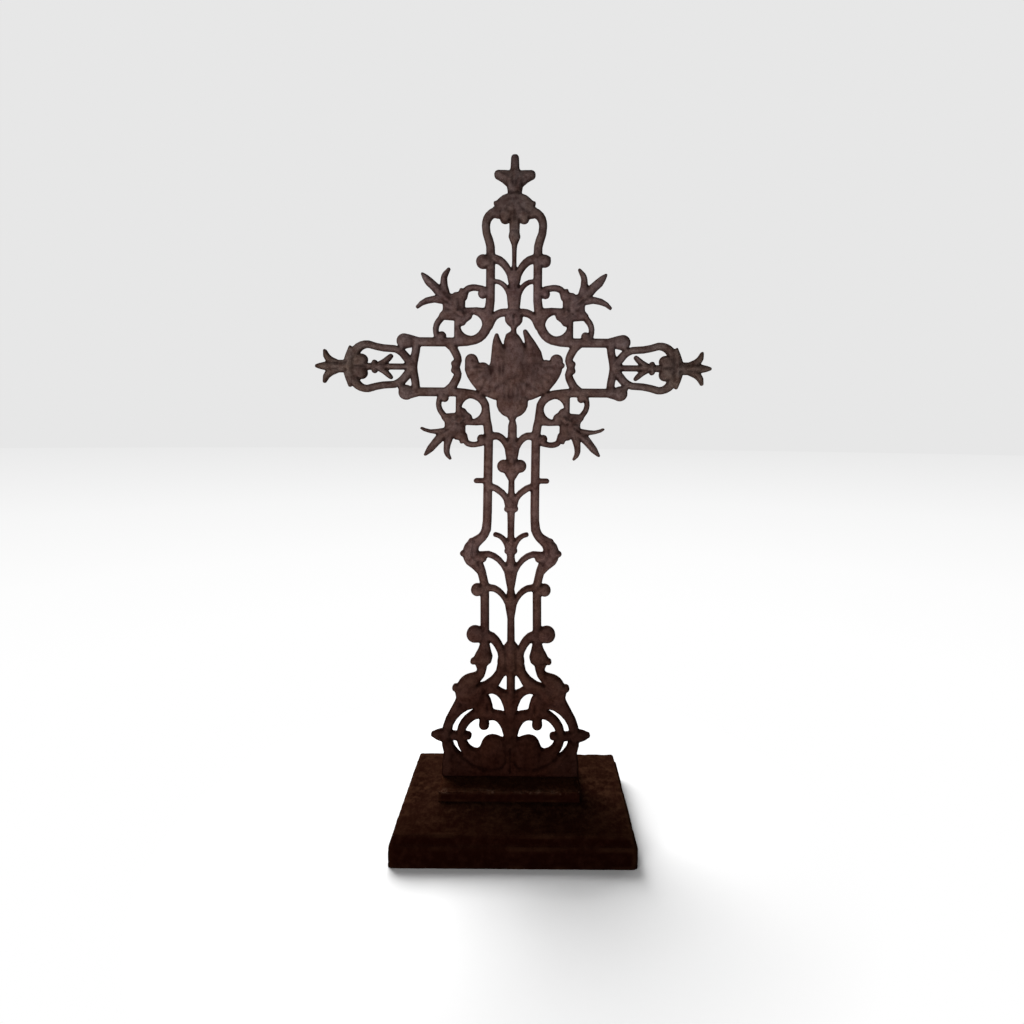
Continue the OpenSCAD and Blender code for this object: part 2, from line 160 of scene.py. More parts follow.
def from_line(x, z, line):
    """Distance of each place from a broken line."""
    nearest = np.full(x.shape, 1e9)
    for (ax, az), (bx, bz) in zip(line, line[1:]):
        along = ((x - ax) * (bx - ax) + (z - az) * (bz - az)) / ((bx - ax) ** 2 + (bz - az) ** 2)
        along = np.clip(along, 0, 1)
        nearest = np.minimum(nearest, np.hypot(x - ax - along * (bx - ax), z - az - along * (bz - az)))
    return nearest


def ridge(x, z, line, width, height):
    """Soft rib along a line, or a groove where height is negative."""
    return height * np.exp(-(from_line(x, z, line) / width) ** 2)


def dome(x, z, cx, cz, rx, rz, height):
    """Half of a flattened ball."""
    return height * np.sqrt(np.clip(1 - ((x - cx) / rx) ** 2 - ((z - cz) / rz) ** 2, 0, 1))


# The relief functions below lay ribs, grooves and domes over the front. All places, widths and
# heights are in mm, x is the distance from the middle line and z the height above the foot.

def foot_relief(x, z):
    """Scrolls, knobs and buds of the foot."""
    h = ridge(x, z, [(0, 70), (0, 212)], 4.0, 1.4)
    h += ridge(x, z, [(0, 6), (0, 46)], 1.6, -1.6)
    h += dome(x, z, 27, 36, 19, 28, 2.6)
    h += ridge(x, z, [(84, 46), (76, 32), (62, 22), (44, 14), (26, 12), (12, 17), (6, 26)], 2.4, -1.3)
    h += ridge(x, z, [(91, 44), (80, 26), (64, 14), (46, 6), (24, 4)], 3.6, 0.8)
    h += dome(x, z, 68, 138, 24, 22, 2.4) + dome(x, z, 88, 140.5, 6, 6, 2.0)
    h += dome(x, z, 42.5, 80, 8, 9, 2.6) + dome(x, z, 69, 63.5, 7, 6, 2.2)
    h += dome(x, z, 108, 65.5, 14, 9, 2.4) + ridge(x, z, [(96, 56), (96, 74)], 1.6, -1.4)
    h += ridge(x, z, [(16, 196), (18, 176), (26, 160), (40, 148), (60, 128)], 3.6, 1.6)
    h += ridge(x, z, [(8, 130), (24, 128), (36, 118), (38, 104)], 1.6, -1.0)
    h += dome(x, z, 43, 191, 14, 12, 2.6) + ridge(x, z, [(30, 181), (62, 181)], 1.6, -1.6)
    return h


def shaft_relief(x, z):
    """Knobs, buds and collars of the shaft."""
    h = dome(x, z, 0, 194, 19, 20, 1.6) + ridge(x, z, [(8, 172), (8, 212)], 1.6, -1.2)
    h += dome(x, z, 57.5, 226.5, 13, 13, 3.4) + dome(x, z, 53.7, 297.5, 10, 10, 3.0)
    h += dome(x, z, 63.5, 357, 16, 21, 3.0) + ridge(x, z, [(48, 334), (62, 356), (58, 380)], 1.8, -1.2)
    h += dome(x, z, 77, 355.5, 4.5, 4.5, 1.6) + dome(x, z, 64, 375.5, 4.5, 4.5, 1.6)
    h += dome(x, z, 45, 348, 6.5, 6.5, 1.8)
    for collar in (286, 336, 360, 431.5, 520):
        h += dome(x, z, 0, collar, 8.5, 6.5, 1.8)
        h += ridge(x, z, [(0, collar - 8), (8, collar - 8)], 1.3, -0.9)
    h += dome(x, z, 0, 491, 13, 17, 2.4) + dome(x, z, 13.5, 495.5, 10, 10, 2.8)
    h += ridge(x, z, [(7, 484), (5, 506)], 1.5, -1.3)
    return h


def spray_relief(x, z, corner_z, up, prong_tips):
    """Leaf spray at a corner of the crossing: a rib to each prong, folds between them and a boss.
    The middle prong is straight and the outer two curl."""
    u = x - RAIL_X
    v = (z - corner_z) * up
    h = np.zeros(x.shape)
    for middle, tip, curl in zip([(66, 57), (64, 62), (60, 66)], prong_tips, (4, None, -4)):
        line = [(43, 42), middle, tip]
        if curl:
            line.insert(2, ((middle[0] + tip[0]) / 2 + curl, (middle[1] + tip[1]) / 2 + 4))
        h += ridge(u, v, line, 2.6, 1.5)
    for notch in ((86, 74), (66, 78), (52, 82), (76, 52), (66, 37)):
        h += ridge(u, v, [(50, 50), notch], 1.9, -0.8)
    h += dome(u, v, 57, 45, 4.6, 4.6, 1.0) - dome(u, v, 57, 45, 2.2, 2.2, 1.2)
    h += dome(u, v, 12.5, 77.5, 7, 7, 1.8) + dome(u, v, 77, 10, 6.5, 6.5, 1.8)
    return h


def crossing_relief(x, z):
    """Hub, braces and leaf sprays round the dove."""
    v = z - ARM_Z
    h = dome(x, v, 0, 84, 13, 16, 1.6) + dome(x, v, 8, 76, 8, 9, 2.2)
    h += ridge(x, v, [(0, 62), (0, 84)], 1.6, -1.6) + ridge(x, v, [(0, 92), (12, 90)], 1.4, -1.0)
    h += dome(x, v, 94, 5.5, 5.5, 5, 1.6) + dome(x, v, 94, -5.5, 5.5, 5, 1.6)
    h += spray_relief(x, z, ARM_Z + ARM_RAIL, 1, [(116, 56), (108, 108), (67, 116)])
    h += spray_relief(x, z, ARM_Z - ARM_RAIL, -1, [(106, 58), (100, 100), (61, 106)])
    return h


def arm_relief(x, z):
    """Finial, collar, sprig and corner knobs of an arm. u is the distance in from its tip."""
    u = ARM_TIP - x
    v = np.abs(z - ARM_Z)
    h = ridge(u, v, [(4, 0), (26, 0), (54, 0)], 3.2, 1.6)
    h += ridge(u, v, [(14, 12), (22, 5.5), (38, 4.5)], 1.3, -1.2)
    h += ridge(u, v, [(51, 24), (55, 10), (55, 0)], 2.0, 1.4)
    h += ridge(u, v, [(60, 28), (62, 0)], 1.5, -1.0)
    h += dome(u, v, 74, 10.5, 9.5, 9.5, 1.7) + ridge(u, v, [(64, 0), (84, 0)], 1.6, -1.2)
    h += dome(u, v, 100, 0, 9, 7, 1.8) + dome(u, v, 95, 6.5, 4.5, 4.5, 1.6)
    h += ridge(u, v, [(104, 0), (156, 0)], 2.6, 1.0)
    h += ridge(u, v, [(150, 19), (157, 9), (163, 4)], 1.4, -1.2)
    h += ridge(u, v, [(138, 33), (152, 30), (160, 30)], 1.4, -0.8)
    h += dome(u, v, 143, 41, 12, 11.5, 2.6)
    return h


def head_relief(x, z):
    """Finial, leaf cap and bud of the head. u is the distance down from its tip."""
    u = HEAD_Z - z
    h = dome(x, u, 0, 44, 12, 18, 1.8) + ridge(x, u, [(5, 56), (9, 42), (24, 32)], 2.2, 1.8)
    h += ridge(x, u, [(9, 56), (15, 44), (28, 38)], 1.4, -1.2)
    h += ridge(x, u, [(2, 50), (4, 36)], 1.4, -1.2)
    h += ridge(x, u, [(0, 62), (14, 62)], 1.8, -1.6) + ridge(x, u, [(0, 67), (20, 69)], 2.4, 0.8)
    h += dome(x, u, 15, 101, 9, 10, 2.4) + dome(x, u, 14, 84, 18, 15, 1.0)
    h += ridge(x, u, [(0, 92), (0, 108)], 2.0, -1.2) + ridge(x, u, [(0, 74), (0, 88)], 2.0, -0.5)
    h += ridge(x, u, [(6, 80), (16, 92), (26, 94)], 1.8, -0.8)
    h += dome(x, u, 0, 131.5, 9, 8, 1.8) + ridge(x, u, [(0, 122), (8, 122)], 1.3, -1.0)
    h += dome(x, u, 49, 170.5, 11, 11, 3.0)
    return h


def dove_relief(x, z):
    """The dove, worn soft: body, two long feathers, fanned wings and a grooved lower breast."""
    v = z - ARM_Z
    h = 2.6 * np.exp(-(x / 21) ** 2 - ((v + 12) / 46) ** 2)
    h += 1.8 * np.exp(-(x / 17) ** 2 - ((v + 63) / 13) ** 2)
    h += ridge(x, v, [(-23, 8), (-25, 26), (-27, 50)], 5.0, 1.2)
    h += ridge(x, v, [(28, 10), (25, 30), (19, 54)], 5.0, 1.2)
    h += ridge(x, v, [(0, 24), (0, 56)], 7.0, 1.0)
    h += ridge(x, v, [(-15, 26), (-13, 8), (-18, -12)], 2.4, -0.7)
    h += ridge(x, v, [(19, 30), (15, 10), (18, -10)], 2.4, -0.6)
    h += ridge(x, v, [(-26, -50), (-12, -46), (0, -45), (12, -46), (26, -51)], 2.6, -0.8)
    h += ridge(x, v, [(-48, -45), (-30, -35), (-10, -22), (6, -13)], 2.8, -1.0)
    h += ridge(x, v, [(48, -43), (32, -33), (14, -22)], 2.8, -0.9)
    for groove_x in (-13, -6, 1, 8, 15, 21):
        h += ridge(x, v, [(groove_x, -52), (groove_x * 1.05, -28)], 1.5, -0.8)
    for groove_x in (-12, -4, 5, 13):
        h += ridge(x, v, [(groove_x, -52), (groove_x * 0.7, -70)], 1.6, -0.6)
    for side, depth in ((-1, -1.0), (1, -0.6)):    # grooves between the fanned wing feathers
        for turn in range(6):
            way = math.radians(176 + 13 * turn)
            start = (side * 34, 4 + 14 * math.sin(way))
            end = (-side * 78 * math.cos(way), 8 + 62 * math.sin(way))
            h += ridge(x, v, [start, end], 1.9, depth)
    for stroke_x in (-25, -18):
        h += ridge(x, v, [(stroke_x, -21), (stroke_x, 12)], 1.7, 1.0)
    for stroke_x in (27, 34, 41):
        h += ridge(x, v, [(stroke_x, -18), (stroke_x + 3, 2)], 1.8, 0.6)
    h += dome(x, v, -65, 11, 5, 5, 0.8) - dome(x, v, -65, 11, 2.2, 2.2, 1.2)
    return h


def casting_noise(points, size, seed):
    """Smooth noise from -1 to 1 whose lumps are size mm across."""
    shift = Vector((seed * 7.3, seed * 3.1, seed * 5.7))
    return np.array([noise.noise(Vector(p) / size + shift) for p in points])


def shape_casting(points, gap):
    """Rounds the bars, swells the broad parts and raises the relief on the front."""
    x = np.abs(points[:, 0])
    z = points[:, 2] - CROSS_FOOT
    y = points[:, 1] - CROSS_MIDDLE
    half = BAR_T / 2

    def lost(radius):
        """What an edge rounded to this radius has lost, at each point's distance from it."""
        return radius - np.sqrt(radius ** 2 - (radius - np.minimum(gap, radius)) ** 2)

    def level(part):
        """Depth of each point when its side of the bar is part thick."""
        return y / (half + WALL_OUT) * part

    relief = foot_relief(x, z) * (z < FOOT_TOP) + shaft_relief(x, z) + crossing_relief(x, z)
    relief += arm_relief(x, z) + head_relief(x, z) + dove_relief(points[:, 0], z)
    relief *= 1 - np.exp(-(gap / RELIEF_RISE) ** 2)
    inside = np.maximum(gap - SWELL_START, 0)
    swell = SWELL * (1 - np.exp(-inside / SWELL_REACH)) * np.where(z < FLAT_TOP, FLATTER, 1)
    grain = sum(height * casting_noise(points, size, seed) for height, size, seed in SAND_LUMPS)
    front = half - lost(FRONT_ROUND) + swell + relief + grain
    back = half - lost(BACK_ROUND) + 0.5 * grain - BACK_SINK * (1 - np.exp(-inside / BACK_REACH))
    shaped = points.copy()
    shaped[:, 1] = CROSS_MIDDLE + np.where(y < 0, level(front), level(back))
    shaped[:, 0] += SHAFT_LEAN * np.exp(-((z - LEAN_Z) / LEAN_REACH) ** 2)
    shaped[:, 0] = np.clip(shaped[:, 0], -ARM_TIP, ARM_TIP)
    shaped[:, 2] = np.minimum(shaped[:, 2], CROSS_TOP)
    return shaped


def neighbour_mean(mesh, values):
    """Mean of values over each point's neighbours."""
    ends = np.empty(len(mesh.edges) * 2, dtype=np.int64)
    mesh.edges.foreach_get("vertices", ends)
    a, b = ends.reshape(-1, 2).T
    total = np.zeros_like(values)
    count = np.zeros(len(values))
    for here, there in ((a, b), (b, a)):
        np.add.at(total, here, values[there])
        np.add.at(count, here, 1)
    return (total.T / np.maximum(count, 1)).T


def hollows(mesh, rounds=3):
    """From 0 on a crest to 1 in a hollow, 0.5 on the flat."""
    points = points_of(mesh)
    sunk = ((neighbour_mean(mesh, points) - points) * normals_of(mesh)).sum(axis=1)
    for _ in range(rounds):
        sunk = neighbour_mean(mesh, sunk)
    return np.clip(0.5 + sunk / HOLLOW_RANGE, 0, 1)


def add_attribute(piece, name, values):
    """Stores a value at each point of piece, for its material."""
    attribute = piece.data.attributes.new(name, "FLOAT", "POINT")
    attribute.data.foreach_set("value", values)


cross = bpy.data.objects.new("grave_cross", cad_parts["cross"].data.copy())
cross.data.materials.clear()
bpy.context.scene.collection.objects.link(cross)
keep_back_sheet(cross)
outline = outline_tree(cross)
apply_modifier(cross, "SOLIDIFY", thickness=BAR_T * MM, offset=-1)
apply_modifier(cross, "REMESH", mode="VOXEL", voxel_size=CROSS_MESH_STEP * MM)
apply_modifier(cross, "DISPLACE", strength=WALL_OUT * MM, mid_level=0)
cross_points = points_of(cross.data)
set_points(cross.data, shape_casting(cross_points, edge_distance(outline, cross_points)))
apply_modifier(cross, "SMOOTH", factor=0.5, iterations=3)
triangles = 2 * len(cross.data.polygons)
apply_modifier(cross, "DECIMATE", ratio=min(1, CROSS_FACES / triangles))
bpy.ops.object.shade_smooth()
# edge_gap carries the painted shade along the outline of each bar
add_attribute(cross, "edge_gap", edge_distance(outline, points_of(cross.data)))
# hollow carries the painted shade in the relief's hollows and the pale crests, part wear and part
# painted highlight
add_attribute(cross, "hollow", hollows(cross.data))


def linear(code):
    """Linear colour, with alpha, from an sRGB hex code."""
    parts = [int(code[i:i + 2], 16) / 255 for i in (1, 3, 5)]
    return [c / 12.92 if c <= 0.04045 else ((c + 0.055) / 1.055) ** 2.4 for c in parts] + [1]


def add(material, kind, inputs=None, stops=(), **settings):
    """Adds a node to a material or the world, with its settings, and sets or links its inputs. A
    node given as an input is linked by its main output, and a hex code is made linear. Stops are
    a colour ramp's, each a place from 0 to 1 and a hex code."""
    made = material.node_tree.nodes.new("ShaderNode" + kind)
    for name, value in settings.items():
        setattr(made, name, value)
    for name, value in (inputs or {}).items():
        if isinstance(value, bpy.types.Node):
            value = next(output for output in value.outputs if output.enabled)
        if isinstance(value, bpy.types.NodeSocket):
            material.node_tree.links.new(value, made.inputs[name])
        else:
            made.inputs[name].default_value = linear(value) if isinstance(value, str) else value
    for i, (place, code) in enumerate(stops):
        elements = made.color_ramp.elements
        stop = elements[i] if i < len(elements) else elements.new(place)
        stop.position = place
        stop.color = linear(code)
    return made


def new_material(name):
    """An empty material, and the place on the piece in metres."""
    material = bpy.data.materials.new(name)
    material.use_nodes = True
    material.node_tree.nodes.clear()
    place = add(material, "TexCoord").outputs["Object"]
    return material, place


MIX_FIRST, MIX_SECOND = 6, 7   # the colour inputs of a Mix node


def lay_over(material, colour, layers):
    """Lays tints over a colour. Each layer is a pattern, the value at which it begins and the one
    at which it is full, its share there, its tint, and how it is blended."""
    for pattern, begin, full, share, tint, blend in layers:
        amount = add(material, "MapRange", {"Value": pattern, "From Min": begin, "From Max": full,
                                            "To Max": share})
        colour = add(material, "Mix", {0: amount, MIX_FIRST: colour, MIX_SECOND: tint},
                     data_type="RGBA", blend_type=blend)
    return colour


def finish_material(material, colour, roughness, height, depth):
    """Joins colour, roughness and a bump of depth mm to the shader and the output. Rust is an
    oxide, not a bare metal, so it has no metallic share and no gloss."""
    bump = add(material, "Bump", {"Height": height, "Strength": 1.0, "Distance": depth * MM})
    shader = add(material, "BsdfPrincipled", {
        "Base Color": colour, "Roughness": roughness, "Metallic": 0.0,
        "Specular IOR Level": 0.0, "Normal": bump})
    add(material, "OutputMaterial", {"Surface": shader})


def rusted_cast_iron():
    """Grey iron under an old brown rust patina: dry, matt and mottled. The edges of the bars and the
    hollows of the relief are darkened as painted shade, and the crests are lifted, part rubbed wear
    and part painted highlight. It is palest at the arms, greyer towards their ends, and brown black at
    the foot.
    Weathering is 42 mm across and blotches 9 mm. The real grit of the rust is under 1 mm, and
    is drawn 2 to 3 mm across so that it shows."""
    material, place = new_material("rusted_cast_iron")
    axes = add(material, "SeparateXYZ", {"Vector": place}).outputs
    tones = [(60, "#25110c"), (120, "#2d1913"), (180, "#37211b"), (240, "#402c25"), (300, "#45312d"),
             (360, "#513d37"), (420, "#5a4643"), (480, "#5d4945"), (540, "#5d4945"), (600, "#584642"),
             (720, "#584643"), (840, "#5b4a49"), (920, "#564946"), (1000, "#534745"), (1050, "#473b3a")]
    top = tones[-1][0]
    height = add(material, "MapRange", {"Value": axes["Z"], "From Max": top * MM})
    tone = add(material, "ValToRGB", {"Fac": height}, stops=[(z / top, code) for z, code in tones])
    aside = add(material, "Math", {0: axes["X"]}, operation="ABSOLUTE")
    brownness = add(material, "MapRange", {"Value": aside, "From Min": 50 * MM, "From Max": 180 * MM,
                                           "To Min": 1, "To Max": 0.76})
    tone = add(material, "HueSaturation", {"Color": tone, "Saturation": brownness})
    # Noise, mostly between 0.35 and 0.65. Each has the size of its patches in mm, its detail and
    # its roughness.
    broad, blotch, grit, ochre, flecks, lumps = [
        add(material, "TexNoise", {"Vector": place, "Scale": 1 / (size * MM), "Detail": detail,
                                   "Roughness": rough})
        for size, detail, rough in ((42, 2, 0.6), (9, 4, 0.65), (2.2, 3, 0.7), (26, 3, 0.6),
                                    (1.9, 3, 0.8), (3.2, 5, 0.7))]
    gap = add(material, "Attribute", attribute_name="edge_gap").outputs["Fac"]
    hollow = add(material, "Attribute", attribute_name="hollow").outputs["Fac"]
    colour = lay_over(material, tone, [
        (aside, 170 * MM, 310 * MM, 1, "#f0f2e6", "MULTIPLY"),
        (broad, 0.4, 0.62, 0.5, "#b39a92", "MULTIPLY"),
        (blotch, 0.42, 0.66, 0.75, "#a88f88", "MULTIPLY"),
        (grit, 0.5, 0.72, 0.5, "#94807a", "MULTIPLY"),
        # painted shade: darker within 3 mm of each bar's outline, where its rounded edges turn from the
        # light
        (gap, 3.0, 0.4, 0.65, "#8e7b75", "MULTIPLY"),
        # painted shade: darker in the hollows of the relief
        (hollow, 0.53, 0.85, 0.55, "#82706b", "MULTIPLY"),
        # paler on the crests of the relief, part rubbed wear and part painted highlight
        (hollow, 0.42, 0.1, 0.3, "#ffffff", "OVERLAY"),
        (flecks, 0.58, 0.7, 0.4, "#ffffff", "OVERLAY"),
        (ochre, 0.45, 0.62, 0.45, "#fff6e4", "MULTIPLY")])
    roughness = add(material, "MapRange", {"Value": blotch, "From Min": 0.35, "From Max": 0.65,
                                           "To Min": 0.7, "To Max": 0.88})
    finish_material(material, colour, roughness, lumps, 0.7)
    return material


cross.data.materials.append(rusted_cast_iron())
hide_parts("cross")
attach(cross, "root")

# ---- Step ----
# A low block of the same iron under the foot of the cross, with no bolt showing. Its top
# # front edge has rusted into a ragged, flaking lip, whose pale flakes are partly a painted highlight.

WORN_MESH_STEP = 1.6           # side of the small cubes that the worn blocks are remeshed on, in mm
STEP_ROUND = 1.6               # radius worn on the step's edges, in mm
KEPT_FOOT = 2.5                # height above what a block stands on that keeps its shape, in mm


def block(name, low, high):
    """A plain block between two corners, to be worked in edit mode."""
    bpy.ops.object.select_all(action="DESELECT")
    bpy.ops.mesh.primitive_cube_add(size=1, location=(low + high) / 2)
    made = bpy.context.object
    made.name = name
    made.dimensions = high - low
    bpy.ops.object.transform_apply(location=True, rotation=True, scale=True)
    return made


def round_edges(piece, radius):
    """Rounds every sharp edge of a block but those it stands on."""
    pick(piece)
    bpy.ops.object.mode_set(mode="EDIT")
    bpy.ops.mesh.select_mode(type="EDGE")
    bpy.ops.mesh.select_all(action="DESELECT")
    bm = bmesh.from_edit_mesh(piece.data)
    floor_z = min(point.co.z for point in bm.verts)
    for edge in bm.edges:
        raised = max(point.co.z for point in edge.verts) > floor_z + MM
        edge.select_set(raised and edge.calc_face_angle() > math.radians(30))
    bmesh.update_edit_mesh(piece.data)
    bpy.ops.mesh.bevel(offset=radius * MM, segments=3, affect="EDGES")
    bpy.ops.object.mode_set(mode="OBJECT")


def wear(piece, edge_depth, edge_size, waves, wave_size, seed):
    """Breaks up the edges of a block in chips, ripples its faces, and lays a fine grain over it,
    all along the normals. Depths and sizes are in mm."""
    mesh = piece.data
    points = points_of(mesh)
    crest = np.clip((0.5 - hollows(mesh, 2)) * 4, 0, 1)
    chips = np.clip(casting_noise(points, edge_size, seed) * 1.6 + 0.25, 0, 1)
    lift = waves * casting_noise(points, wave_size, seed + 1) - edge_depth * crest * chips
    lift += 0.12 * casting_noise(points, 2.8, seed + 2)
    near_foot = points[:, 2] - points[:, 2].min() < KEPT_FOOT
    lift = np.where(near_foot, np.clip(lift, -0.1, 0), lift)
    worn = points + normals_of(mesh) * lift[:, None]
    set_points(mesh, np.clip(worn, points.min(axis=0), points.max(axis=0)))
    # the crest also carries the pale edges in the material, part rubbed wear and part painted highlight
    add_attribute(piece, "crest", crest)


def weather(piece, edge_round, **wearing):
    """Rounds the edges of a block, wears it and smooths it."""
    round_edges(piece, edge_round)
    apply_modifier(piece, "REMESH", mode="VOXEL", voxel_size=WORN_MESH_STEP * MM)
    wear(piece, **wearing)
    apply_modifier(piece, "SMOOTH", factor=0.4, iterations=1)
    bpy.ops.object.shade_smooth()


def flaking_and_lit_lip(material, place, axes, colour, lip):
    """Pale ragged flakes, 6 mm across in runs of about 22 mm, on the edge that lip is on: part
    flaking rust and part a painted highlight along that edge.
    """
    flakes, runs = [
        add(material, "TexNoise", {"Vector": place, "Scale": 1 / (size * MM), "Detail": detail,
                                   "Roughness": rough})
        for size, detail, rough in ((6, 5, 0.8), (22, 2, 0.6))]
    share = 1.0
    for pattern, begin, full, least in (
            (axes["Y"], lip.y + 12 * MM, lip.y + 2 * MM, 0),
            (axes["Z"], lip.z - 5 * MM, lip.z - 1 * MM, 0),
            (flakes, 0.47, 0.6, 0),
            (runs, 0.46, 0.56, 0.15)):
        part = add(material, "MapRange", {"Value": pattern, "From Min": begin, "From Max": full,
                                          "To Min": least})
        share = add(material, "Math", {0: share, 1: part}, operation="MULTIPLY")
    return lay_over(material, colour, [(share, 0, 1, 1, "#523d32", "MIX")])


def worn_iron(name, base, pale, dark, scale, lip=None):
    """The same iron at the foot: brown black rust with paler dry patches on top. The upright faces
    take the darkest, reddest colour as painted shade, and the tops darken towards the front as a
    painted shadow of the cross's foot. Raised edges are paler, part rubbed wear and part painted
    highlight. Weathering is 60 mm across and blotches 13 mm, times scale, and the grit is drawn
    coarse so that it shows. Where lip gives a place on an edge, that edge has pale flakes, part
    flaking rust and part painted highlight."""
    material, place = new_material(name)
    axes = add(material, "SeparateXYZ", {"Vector": place}).outputs
    normal = add(material, "NewGeometry").outputs["Normal"]
    upward = add(material, "SeparateXYZ", {"Vector": normal}).outputs["Z"]
    drawn_out = add(material, "Mapping", {"Vector": place, "Scale": (1, 0.3, 1)})
    crest = add(material, "Attribute", attribute_name="crest").outputs["Fac"]
    # Noise, as on the cross: where it is, size in mm, detail and roughness.
    broad, blotch, streak, grit = [
        add(material, "TexNoise", {"Vector": where, "Scale": 1 / (size * MM), "Detail": detail,
                                   "Roughness": rough})
        for where, size, detail, rough in (
            (place, 60 * scale, 2, 0.6), (place, 13 * scale, 5, 0.7), (drawn_out, 4, 4, 0.7),
            (place, 2.6, 4, 0.75))]
    on_top = lay_over(material, base, [
        (broad, 0.42, 0.6, 0.5, dark, "MIX"),
        (blotch, 0.46, 0.66, 0.9, pale, "MIX"),
        (streak, 0.48, 0.72, 0.5, pale, "MIX"),
        (grit, 0.5, 0.75, 0.55, dark, "MIX"),
        # painted shadow: the tops darken towards the front, where the cross's foot throws its shadow
        (axes["Y"], -0.04, -0.12, 0.7, dark, "MIX")])
    # painted shade: the upright faces take the dark colour and the tops the paler one, as if lit from
    # above
    colour = lay_over(material, dark, [
        (blotch, 0.45, 0.7, 0.6, base, "MIX"),
        (upward, 0.3, 0.8, 1, on_top, "MIX")])
    bare = add(material, "MapRange", {"Value": broad, "From Min": 0.48, "From Max": 0.62,
                                      "To Min": 0.03, "To Max": 0.3})
    # paler on the raised edges, part rubbed wear and part painted highlight
    rubbed_and_lit_edges = add(material, "Math", {0: crest, 1: bare}, operation="MULTIPLY")
    colour = lay_over(material, colour, [(rubbed_and_lit_edges, 0, 1, 1, pale, "MIX")])
    if lip is not None:
        colour = flaking_and_lit_lip(material, place, axes, colour, lip)
    roughness = add(material, "MapRange", {"Value": blotch, "From Min": 0.35, "From Max": 0.7,
                                           "To Min": 0.7, "To Max": 0.88})
    finish_material(material, colour, roughness, grit, 0.6)
    return material


step = block("worn_step", step_low, step_high)
weather(step, STEP_ROUND, edge_depth=1.6, edge_size=7, waves=0.2, wave_size=26, seed=5)
step_lip = Vector((0, step_low.y, step_high.z))
# painted light: the step's colours are set paler than the plinth's to offset the shadow the cross's
# foot casts on its top
step.data.materials.append(
    worn_iron("flaking_cast_iron", "#28130b", "#372115", "#190704", 0.6, lip=step_lip))
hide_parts("foot_block")
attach(step, "root")

# ---- Plinth ----
# A heavy slab of the same iron with a sloping band and a small ledge round its top. Its
# edges are worn round, and its faces are mottled and slightly wavy from the sand mould.

BAND_H = 14.0                  # height of the sloping band round the top, in mm
BAND_INSET = 6.0               # how far the band's top edge is set back, in mm
LEDGE_IN = 3.5                 # how far the band's foot is set back, in mm
EDGE_ROUND = 2.4               # radius worn on the plinth's edges, in mm
CORNER_ROUND = 7.0             # radius of its upright corners, in mm


def select_faces(piece, wanted):
    """Selects, in edit mode, the faces for which wanted says yes."""
    bpy.ops.mesh.select_mode(type="FACE")
    bpy.ops.mesh.select_all(action="DESELECT")
    bm = bmesh.from_edit_mesh(piece.data)
    for face in bm.faces:
        face.select_set(wanted(face))
    bmesh.update_edit_mesh(piece.data)


def round_corners(piece, radius):
    """Rounds the upright corners of a plain block, in edit mode."""
    bpy.ops.mesh.select_mode(type="EDGE")
    bpy.ops.mesh.select_all(action="DESELECT")
    bm = bmesh.from_edit_mesh(piece.data)
    for edge in bm.edges:
        edge.select_set(abs(edge.verts[0].co.z - edge.verts[1].co.z) > MM)
    bmesh.update_edit_mesh(piece.data)
    bpy.ops.mesh.bevel(offset=radius * MM, segments=6, affect="EDGES")


plinth_low, plinth_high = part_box("plinth")
slab_high = Vector((plinth_high.x, plinth_high.y, plinth_high.z - BAND_H * MM))
plinth = block("plinth_slab", plinth_low, slab_high)
plinth_size = (plinth_high - plinth_low) / MM
bpy.ops.object.mode_set(mode="EDIT")
round_corners(plinth, CORNER_ROUND)
select_faces(plinth, lambda face: face.normal.z > 0.9)
bpy.ops.mesh.inset(thickness=LEDGE_IN * MM)
bpy.ops.mesh.extrude_region_move(TRANSFORM_OT_translate={"value": (0, 0, BAND_H * MM)})
bpy.ops.transform.resize(value=[(plinth_size[i] - 2 * BAND_INSET) / (plinth_size[i] - 2 * LEDGE_IN)
                                for i in (0, 1)] + [1])
bpy.ops.object.mode_set(mode="OBJECT")
weather(plinth, EDGE_ROUND, edge_depth=0.7, edge_size=14, waves=0.25, wave_size=45, seed=11)
plinth.data.materials.append(worn_iron("mottled_cast_iron", "#22100a", "#352116", "#120402", 1))
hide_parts("plinth")
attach(plinth, "root")

# ---- Floor, backdrop, lamps and camera ----
# A white studio floor that runs back to a pale grey wall of light, a large soft lamp high up
# behind on the left, a lower one in front on the left, and a level camera a metre in front.

FLOOR_REACH = 30.0             # radius of the floor, in metres
VIEW_GAP = 1.03                # added to a place's distance from the middle before it is inverted
SHADOW_FULL = 0.2              # out to here the floor shows its own light and shadow, in metres
SHADOW_GONE = 0.52             # from here on it shows the backdrop's plain grey, in metres
bpy.ops.object.select_all(action="DESELECT")
bpy.ops.mesh.primitive_circle_add(vertices=96, radius=FLOOR_REACH, fill_type="NGON", location=(0, 0, 0))
floor = bpy.context.object
floor.name = "studio_floor"


def seen_directly(material):
    """1 for what is seen straight or mirrored, 0 for the light that falls on other things."""
    rays = add(material, "LightPath").outputs
    first = add(material, "Math", {0: rays["Is Camera Ray"], 1: rays["Is Glossy Ray"]})
    return add(material, "Math", {0: first, 1: rays["Is Transmission Ray"]}, use_clamp=True)


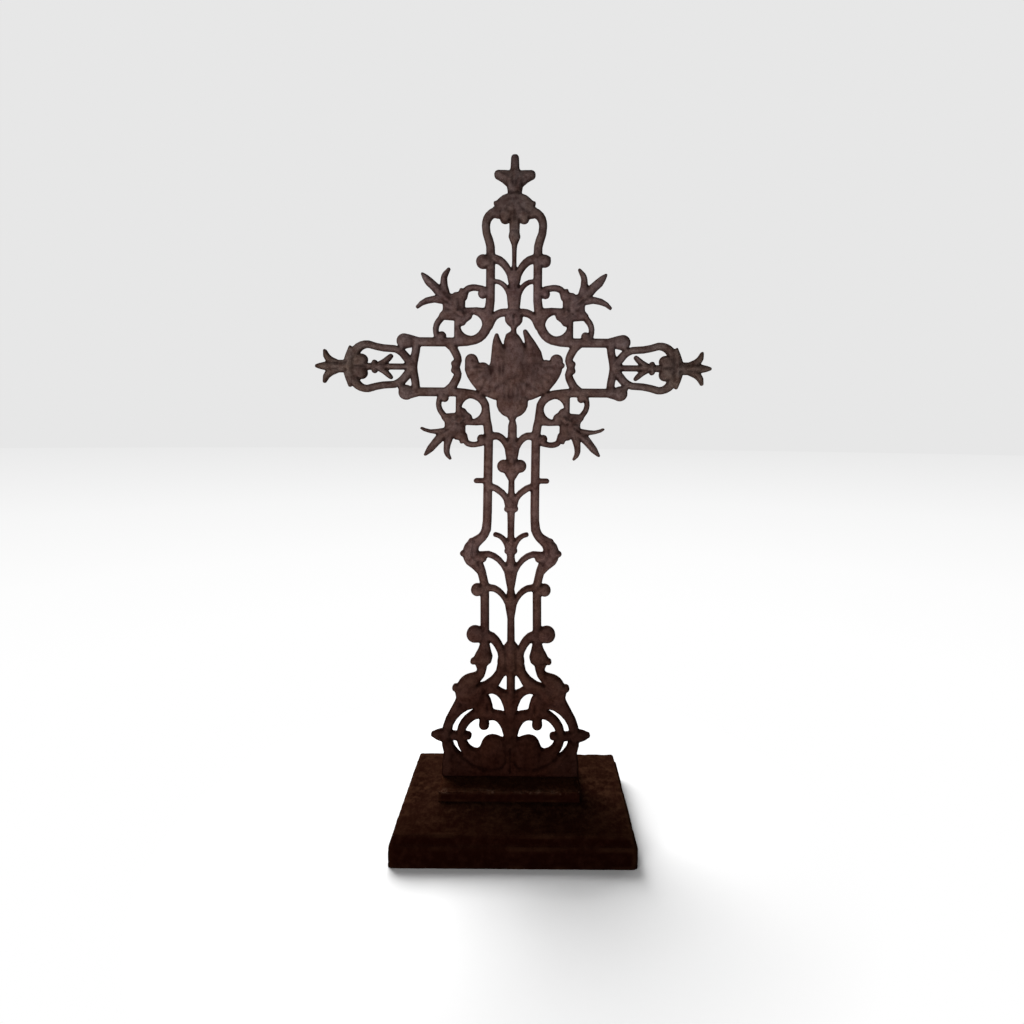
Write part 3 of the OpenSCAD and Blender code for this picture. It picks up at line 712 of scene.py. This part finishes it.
def floor_paint():
    """Matt white paint that keeps the shadow, and further off fades to the grey of the backdrop."""
    material, place = new_material("studio_floor_paint")
    distance = add(material, "VectorMath", {0: place}, operation="LENGTH").outputs["Value"]
    reach = add(material, "Math", {0: distance, 1: VIEW_GAP})
    nearness = add(material, "Math", {0: 1.0, 1: reach}, operation="DIVIDE")
    colour = add(material, "ValToRGB", {"Fac": nearness}, stops=[
        (0, "#e7e7e7"), (0.038, "#ebebeb"), (0.166, "#f7f7f7"), (0.294, "#fdfdfd"), (0.42, "#ffffff")])
    paint = add(material, "BsdfDiffuse", {"Color": "#f2f2f2"})
    glow = add(material, "Emission", {"Color": colour, "Strength": 1.0})
    far = add(material, "MapRange", {"Value": distance, "From Min": SHADOW_FULL,
                                     "From Max": SHADOW_GONE})
    share = add(material, "Math", {0: seen_directly(material), 1: far}, operation="MULTIPLY")
    both = add(material, "MixShader", {0: share, 1: paint, 2: glow})
    add(material, "OutputMaterial", {"Surface": both})
    return material


floor.data.materials.append(floor_paint())

AMBIENT = 0.15                 # light from all round, where 1 lights a white card to white
world = bpy.data.worlds.new("studio_light")
world.use_nodes = True
world.node_tree.nodes.clear()
backdrop = add(world, "Background", {"Color": "#e7e7e7", "Strength": 1.0})
ambient = add(world, "Background", {"Color": "#ffffff", "Strength": AMBIENT})
sky = add(world, "MixShader", {0: seen_directly(world), 1: ambient, 2: backdrop})
add(world, "OutputWorld", {"Surface": sky})
bpy.context.scene.world = world


def lamp(name, place, aim, size, power):
    """Square soft lamp at place, turned to aim and out of sight itself, in metres and watts."""
    bpy.ops.object.light_add(type="AREA", location=place)
    made = bpy.context.object
    made.name = name
    made.data.size = size
    made.data.energy = power
    made.rotation_euler = (Vector(aim) - Vector(place)).to_track_quat("-Z", "Y").to_euler()
    made.visible_camera = False


lamp("key_lamp", (-1.0, 1.75, 2.2), (0, 0, 0), 2.1, 150)
lamp("front_lamp", (-1.6, -2.6, 0.4), (0, 0, 0.5), 1.2, 74)

CAMERA_PLACE = (0.029, -0.9995, 0.604)
CAMERA_TILT = -0.45            # how far the level camera leans sideways, in degrees
VIEW_SHIFT = (-0.0186, -0.0742)    # shift of the view, as a share of its width
FOCAL = 22.19                  # in mm
SENSOR_WIDTH = 36              # in mm
camera_data = bpy.data.cameras.new("camera")
camera_data.lens = FOCAL
camera_data.sensor_width = SENSOR_WIDTH
camera_data.shift_x, camera_data.shift_y = VIEW_SHIFT
camera = bpy.data.objects.new("camera", camera_data)
camera.location = CAMERA_PLACE
camera.rotation_euler = (math.radians(90), math.radians(CAMERA_TILT), 0)
bpy.context.scene.collection.objects.link(camera)
bpy.context.scene.camera = camera
bpy.context.scene.view_settings.view_transform = "Standard"
